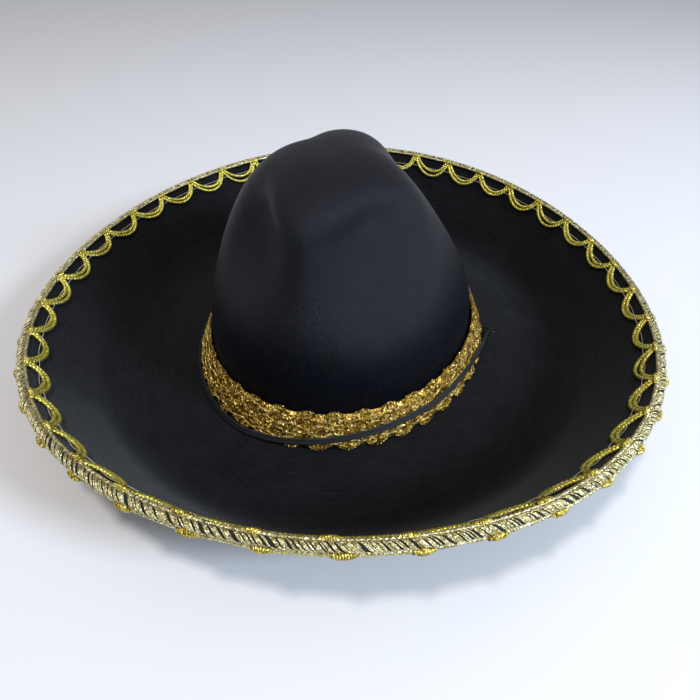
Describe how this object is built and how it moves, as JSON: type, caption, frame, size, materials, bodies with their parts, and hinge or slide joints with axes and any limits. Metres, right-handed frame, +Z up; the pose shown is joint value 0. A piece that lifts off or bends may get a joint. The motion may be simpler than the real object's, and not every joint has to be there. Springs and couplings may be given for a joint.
{
  "type": "sombrero",
  "caption": "Black felt sombrero with a tall dented crown, a wide upturned brim, gold scalloped rim trim, a gold hat band and an elastic chin cord.",
  "frame": {"origin": "on the table, under the middle of the round brim", "axes": "+Z up, -Y towards the front of the hat, +X towards its right side"},
  "size_m": [0.405, 0.405, 0.142],
  "materials": {
    "crown_felt": "fuzzy blue-black wool felt",
    "brim_felt": "black wool felt, brushed round the brim",
    "stiffener_board": "plain grey board",
    "steel_wire": "drawn wire",
    "pale_gold_braid": "pale gold metallised thread",
    "gold_gimp": "yellow gold metallised gimp cord",
    "clear_thread": "clear nylon thread",
    "band_gold": "amber gold crocheted foil braid",
    "black_tape": "matt woven tape",
    "black_thread": "spun thread",
    "black_elastic": "flat braided elastic",
    "crimp_metal": "bright crimped tin"
  },
  "bodies": {
    "root": {"crown_shell": "crown_felt", "brim_top_felt": "brim_felt", "brim_stiffener": "stiffener_board", "brim_bottom_felt": "brim_felt", "rim_wire": "steel_wire", "edge_ladder_tape": "pale_gold_braid", "upper_border_cord": "pale_gold_braid", "lower_border_cord": "pale_gold_braid", "upper_scallop_braid": "gold_gimp", "lower_scallop_braid": "gold_gimp", "trim_stitch_upper": "clear_thread", "trim_stitch_lower": "clear_thread", "hat_band": "band_gold", "sweatband": "black_tape", "sweatband_stitch": "black_thread", "crown_seam_thread": "black_thread", "chin_cord": "black_elastic", "cord_bar_left": "crimp_metal", "cord_bar_right": "crimp_metal"}
  },
  "joints": []
}
